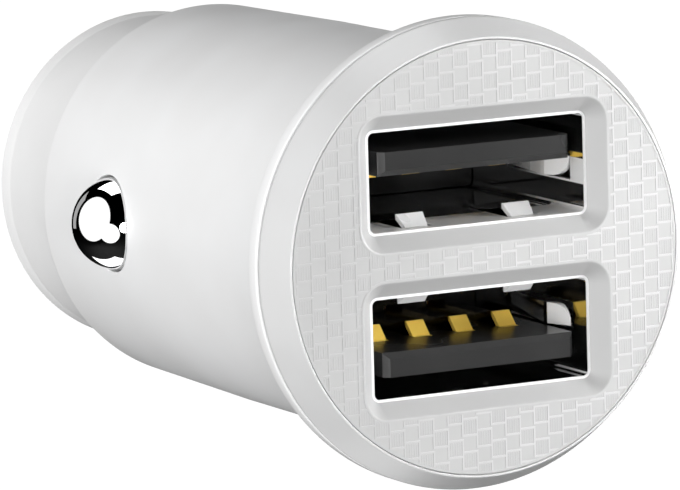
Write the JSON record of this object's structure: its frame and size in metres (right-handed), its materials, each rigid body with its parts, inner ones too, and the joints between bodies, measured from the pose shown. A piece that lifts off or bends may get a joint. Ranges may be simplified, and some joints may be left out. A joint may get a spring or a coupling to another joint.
{
  "type": "car usb charger plug",
  "caption": "Round white 12 V car socket charger with stacked USB ports in its face, a flanged barrel, sprung side contacts and a sprung centre tip.",
  "frame": {"origin": "on the barrel's axis, in the plane of the flange face that stops against the socket's rim", "axes": "+Y along the barrel towards the centre tip, the way the plug goes in; +Z across the stacked ports; +X to the right when facing the ports"},
  "size_m": [0.0244, 0.0426, 0.0244],
  "materials": {
    "barrel_white": "satin pearl white",
    "bezel_white": "satin pearl white",
    "face_white": "fine woven relief, satin",
    "nose_white": "satin white",
    "port_steel": "bright nickel plate",
    "port_black": "satin black",
    "contact_gold": "gold plate",
    "contact_chrome": "mirror polish",
    "tip_nickel": "polished nickel plate",
    "spring_steel": "drawn wire",
    "tinned_steel": "tinned sheet",
    "board_green": "solder mask",
    "ferrite_grey": "sintered ferrite",
    "copper_wire": "enamelled copper wire",
    "chip_black": "moulded epoxy",
    "capacitor_can": "drawn aluminium",
    "fuse_olive": "matt",
    "chip_tan": "sintered ceramic"
  },
  "bodies": {
    "housing": {"barrel_housing": "barrel_white", "bezel_ring": "bezel_white", "face_plate": "face_white", "usb_shell_upper": "port_steel", "usb_shell_lower": "port_steel", "usb_insulator_upper": "port_black", "usb_insulator_lower": "port_black", "usb_contacts_upper": "contact_gold", "usb_contacts_lower": "contact_gold", "circuit_board": "board_green", "choke_core": "ferrite_grey", "choke_winding": "copper_wire", "converter_chip": "chip_black", "port_chip": "chip_black", "input_capacitor": "capacitor_can", "output_capacitor": "capacitor_can", "diode": "chip_black", "fuse": "fuse_olive", "chip_parts": "chip_tan", "side_spring_left": "spring_steel", "side_spring_right": "spring_steel", "side_bracket_left": "tinned_steel", "side_bracket_right": "tinned_steel", "nose_cap": "nose_white", "tip_spring": "spring_steel", "tip_terminal": "tinned_steel"},
    "tip": {"centre_tip": "tip_nickel"},
    "left_contact": {"side_contact_left": "contact_chrome"},
    "right_contact": {"side_contact_right": "contact_chrome"}
  },
  "joints": [
    {"name": "centre_tip_press", "type": "slide", "parent": "housing", "child": "tip", "axis": [0, -1, 0], "range_m": [0, 0.0025], "stiffness_N_per_m": 900, "springref_m": -0.002, "deforming": ["tip_spring"]},
    {"name": "side_contact_left_press", "type": "slide", "parent": "housing", "child": "left_contact", "axis": [1, 0, 0], "range_m": [0, 0.00165], "stiffness_N_per_m": 700, "springref_m": -0.0015, "deforming": ["side_spring_left"]},
    {"name": "side_contact_right_press", "type": "slide", "parent": "housing", "child": "right_contact", "axis": [-1, 0, 0], "range_m": [0, 0.00165], "stiffness_N_per_m": 700, "springref_m": -0.0015, "deforming": ["side_spring_right"]}
  ]
}
